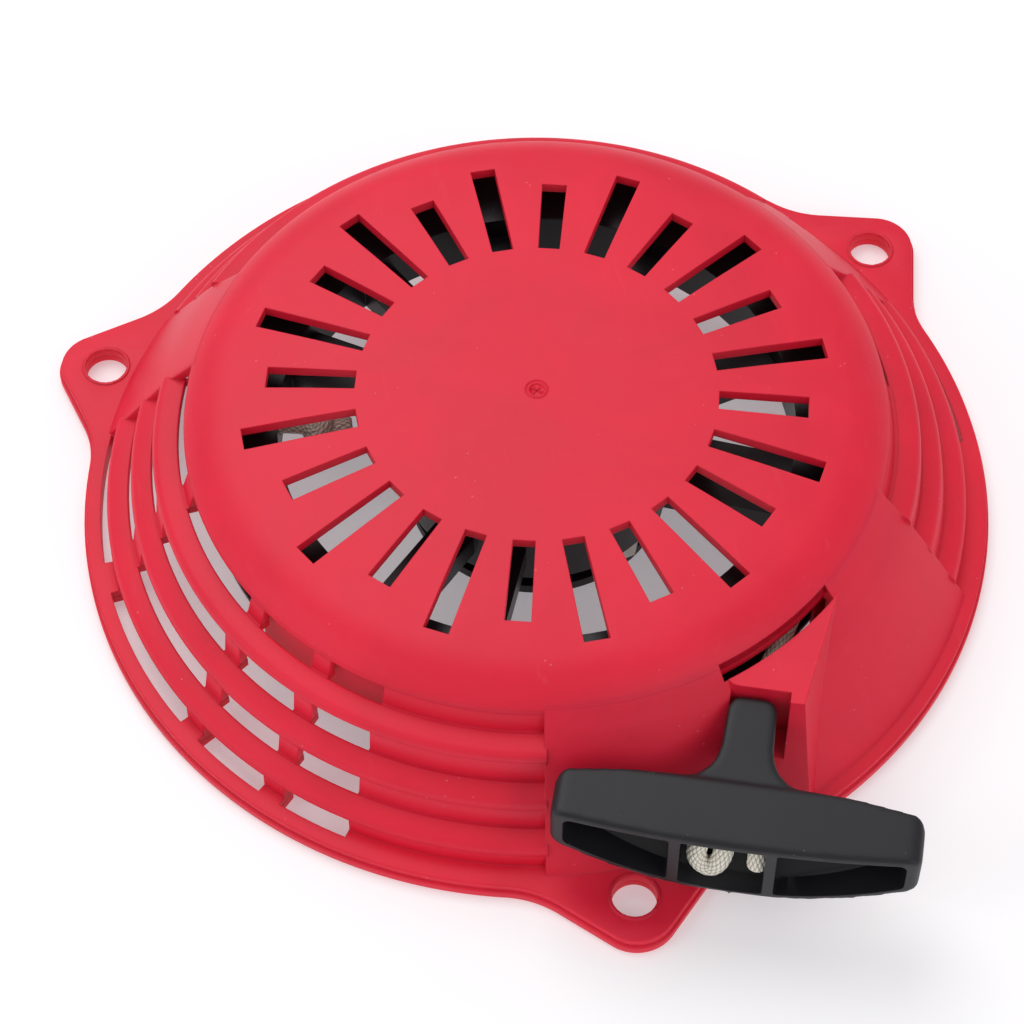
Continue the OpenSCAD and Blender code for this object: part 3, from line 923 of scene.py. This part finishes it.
def lead_route():
    """From the last turn on the reel, through the wall and straight along the pull line."""
    inside = (
        (56.4, -35.1, 25.8), (52.0, -42.4, 25.8), (47.7, -49.3, 25.7), (43.4, -56.4, 25.6),
        (40.6, -60.6, 25.4), (37.8, -64.8, 25.2), (34.8, -69.0, 25.0), (32.1, -73.1, 24.9),
    )
    outside = ((62.6, 0.1, 24.8), (66, 0, 24.8), (72, 0, 24.8))
    return [Vector(p) * MM for p in inside] + [pulled(*p) for p in outside]


def grip_knot():
    """Through the neck, round the loop in the grip's middle pocket and to the cut end, in the pull frame."""
    route = (
        (71.5, 0, 24.8), (80, 0, 24.8), (86.5, 0, 24.8), (88.8, -0.4, 25.6), (90.6, -2.2, 26.6),
        (92, -4.6, 26.0), (93, -6.6, 23.6), (93.6, -7.4, 20.6), (93.9, -7.2, 17.6), (94, -6.0, 15.4),
        (94.1, -4.2, 14.9), (94.1, -2.9, 16.8), (93.7, -2.2, 19.2), (92.6, -1.7, 21.8), (91.6, -0.2, 23.2),
        (90.2, 1.4, 22.2), (90.4, 3.4, 23.4), (92, 4.7, 24.9), (93.6, 4.9, 24.2), (94.8, 4.9, 21.6),
        (95.2, 4.9, 19.8),
    )
    return [pulled(*p) for p in route]


# ---- Stage ----

# Area lights, as (name, place, size in metres, watts); each one faces the origin
LAMPS = (
    ("overhead", (-0.15, 0.55, 0.95), 0.9, 5.2),
    ("side", (-0.9, -0.2, 0.6), 0.6, 1.6),
    ("front", (0.6, -0.9, 0.7), 0.7, 2.4),
)
# The camera: azimuth, elevation and roll in degrees, distance in metres, lens in millimetres, and shift
CAMERA_ANGLES = (-11.31, 55.19, 0.235)
CAMERA_DISTANCE = 0.7163
CAMERA_LENS = 112.55
CAMERA_SHIFT = (-0.02396, -0.01391)


# ---- Operators ----


class StarterLooks(bpy.types.PropertyGroup):
    """Sizes and colours that a user would change."""

    cover_color: bpy.props.FloatVectorProperty(
        name="Cover colour", description="Red of the moulded cover", subtype="COLOR", size=3, min=0, max=1,
        default=(0.77, 0.013, 0.043),
    )
    grip_color: bpy.props.FloatVectorProperty(
        name="Grip colour", description="Black of the grip and reel", subtype="COLOR", size=3, min=0, max=1,
        default=(0.011, 0.0105, 0.0135),
    )
    rope_color: bpy.props.FloatVectorProperty(
        name="Rope colour", description="Cream of the braided rope", subtype="COLOR", size=3, min=0, max=1,
        default=(0.86, 0.82, 0.7),
    )
    rope_width: bpy.props.FloatProperty(
        name="Rope diameter", description="Diameter of the braided rope", default=0.0042,
        subtype="DISTANCE", unit="LENGTH",
    )


class STARTER_OT_cover(bpy.types.Operator):
    """Build the moulded cover with its slots, terraces, flange, ears and rope exit"""

    bl_idname = "starter.cover"
    bl_label = "Cover"

    def execute(self, context):
        looks = context.scene.starter_looks
        parts = [crown(), *ledges(), *risers()]
        for span in CONES:
            parts.append(soften(turned(cone_section(), *span, SHORT_STEP), 0.4, 3, 50))
        parts.append(rope_exit())
        reel_wall = [(73.3, 32.6), (74.2, 32.6), (74.2, 17), (73.3, 17)]
        parts += [turned(reel_wall, *span, WALL_STEP) for span in REEL_WALLS]
        parts += [plate(0, 0, 2.1, 0.3), plate(0.6, 1.9, 4, 0.35)]
        parts += stud_rims()
        cover = smooth(join(*parts), 30)
        piece(cover, "cover", "cover", finishes(looks)["red"], ["housing"])
        return {"FINISHED"}


class STARTER_OT_grip(bpy.types.Operator):
    """Build the hollow T-shaped pull grip"""

    bl_idname = "starter.grip"
    bl_label = "Grip"

    def execute(self, context):
        looks = context.scene.starter_looks
        bar = grip_bar()
        cut(bar, grip_neck(), "UNION")
        # An even skin, relaxed, rounds every edge as moulding does
        apply_modifier(bar, "REMESH", mode="VOXEL", voxel_size=0.5 * MM)
        apply_modifier(bar, "SMOOTH", factor=0.5, iterations=14)
        for tool in grip_pockets():
            cut(bar, tool)
        at_rope = Matrix.Translation(Vector((0, 0, PULL_Z)) * MM)
        cut(bar, place(rod(2.35, 60, 90, 32), at_rope @ ALONG_X))
        place(bar, PULL_FRAME @ Matrix.Translation(Vector((0, PULL_V, 0)) * MM))
        smooth(bar, 40)
        piece(bar, "grip_handle", "grip", finishes(looks)["grip"], ["grip"])
        return {"FINISHED"}


class STARTER_OT_rope(bpy.types.Operator):
    """Lay the braided rope on the reel, through the exit and into the grip"""

    bl_idname = "starter.rope"
    bl_label = "Rope"

    def execute(self, context):
        looks = context.scene.starter_looks
        radius = looks.rope_width / 2 / MM
        paint = finishes(looks)["rope"]
        wound = cord("rope_on_reel", coil(), radius, 12, 1.6, 0.0)
        piece(wound, "rope_on_reel", "reel", paint, ["rope_wound"])
        knot = cord("rope_reel_knot", reel_knot(), radius * 0.93, 36, 0.35, 0.07)
        piece(knot, "rope_reel_knot", "reel", paint, ["reel_knot"])

        lead = cord("rope_pull", lead_route(), radius, 36, 0.35, 0.07)
        lead.data.materials.append(paint)
        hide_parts("rope_lead")
        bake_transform(lead)

        tied = cord("rope_grip_knot", grip_knot(), radius, 36, 0.3, 0.08)
        piece(tied, "rope_grip_knot", "grip", paint, ["rope_in_grip", "grip_knot", "rope_tail"])
        return {"FINISHED"}


class STARTER_OT_metalwork(bpy.types.Operator):
    """Finish the reel, springs, ratchets, guide, screw and insert"""

    bl_idname = "starter.metalwork"
    bl_label = "Reel and drive parts"

    def execute(self, context):
        made = finishes(context.scene.starter_looks)
        worn = {
            "reel": "reel", "ratchet_guide": "guide", "recoil_spring": "spring", "friction_spring": "spring",
            "ratchet_spring_a": "spring", "ratchet_spring_b": "spring", "ratchet_a": "zinc",
            "ratchet_b": "zinc", "setting_screw": "zinc", "post_insert": "brass",
        }
        for node, finish in worn.items():
            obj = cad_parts[node]
            obj.data.materials.clear()
            obj.data.materials.append(made[finish])
        return {"FINISHED"}


class STARTER_OT_stage(bpy.types.Operator):
    """Set the pale floor, the soft studio light and the camera"""

    bl_idname = "starter.stage"
    bl_label = "Stage"

    def execute(self, context):
        clear()
        bpy.ops.mesh.primitive_plane_add(size=6, location=(0, 0, -0.0002))
        floor = bpy.context.object
        floor.name = "floor"
        pale = Paint("pale_floor", Roughness=0.9)
        tone = pale.mix(pale.noise(30, 2.0) * 0.2, (0.78, 0.78, 0.785, 1), (0.75, 0.75, 0.76, 1))
        pale.link("Base Color", tone)
        pale.shader.inputs["Emission Color"].default_value = (0.97, 0.95, 1, 1)
        pale.shader.inputs["Emission Strength"].default_value = 0.3
        floor.data.materials.append(pale.material)

        world = bpy.data.worlds.new("studio")
        context.scene.world = world
        world.use_nodes = True
        sky = world.node_tree.nodes["Background"]
        sky.inputs["Color"].default_value = (1, 1, 1, 1)
        sky.inputs["Strength"].default_value = 0.52

        for name, spot, size, power in LAMPS:
            data = bpy.data.lights.new(name, "AREA")
            data.shape = "DISK"
            data.size = size
            data.energy = power
            lamp = bpy.data.objects.new(name, data)
            lamp.location = spot
            lamp.rotation_euler = (-Vector(spot)).to_track_quat("-Z", "Y").to_euler()
            context.scene.collection.objects.link(lamp)

        a, e, roll = (math.radians(x) for x in CAMERA_ANGLES)
        back = Vector((math.sin(a) * math.cos(e), -math.cos(a) * math.cos(e), math.sin(e)))
        right = Vector((math.cos(a), math.sin(a), 0))
        up = back.cross(right)
        c, s = math.cos(roll), math.sin(roll)
        right, up = right * c + up * s, up * c - right * s
        spot = back * CAMERA_DISTANCE
        data = bpy.data.cameras.new("camera")
        data.lens = CAMERA_LENS
        data.sensor_width = 36
        data.shift_x, data.shift_y = CAMERA_SHIFT
        data.clip_start = 0.05
        camera = bpy.data.objects.new("camera", data)
        camera.matrix_world = Matrix((
            (right.x, up.x, back.x, spot.x), (right.y, up.y, back.y, spot.y),
            (right.z, up.z, back.z, spot.z), (0, 0, 0, 1),
        ))
        context.scene.collection.objects.link(camera)
        context.scene.camera = camera
        context.scene.view_settings.view_transform = "Standard"
        return {"FINISHED"}


class STARTER_PT_panel(bpy.types.Panel):
    """Lists the starter's pieces"""

    bl_label = "Recoil starter"
    bl_idname = "STARTER_PT_panel"
    bl_space_type = "VIEW_3D"
    bl_region_type = "UI"
    bl_category = "Starter"

    def draw(self, context):
        looks = context.scene.starter_looks
        for name in ("cover_color", "grip_color", "rope_color", "rope_width"):
            self.layout.prop(looks, name)
        for operator in OPERATORS:
            self.layout.operator(operator.bl_idname)


OPERATORS = (STARTER_OT_stage, STARTER_OT_cover, STARTER_OT_grip, STARTER_OT_rope, STARTER_OT_metalwork)
CLASSES = (StarterLooks, *OPERATORS, STARTER_PT_panel)


def register():
    for made in CLASSES:
        bpy.utils.register_class(made)
    bpy.types.Scene.starter_looks = bpy.props.PointerProperty(type=StarterLooks)


def unregister():
    del bpy.types.Scene.starter_looks
    for made in reversed(CLASSES):
        bpy.utils.unregister_class(made)


def main():
    register()
    bpy.ops.starter.stage()
    bpy.ops.starter.cover()
    bpy.ops.starter.grip()
    bpy.ops.starter.rope()
    bpy.ops.starter.metalwork()


if __name__ == "__main__":
    main()
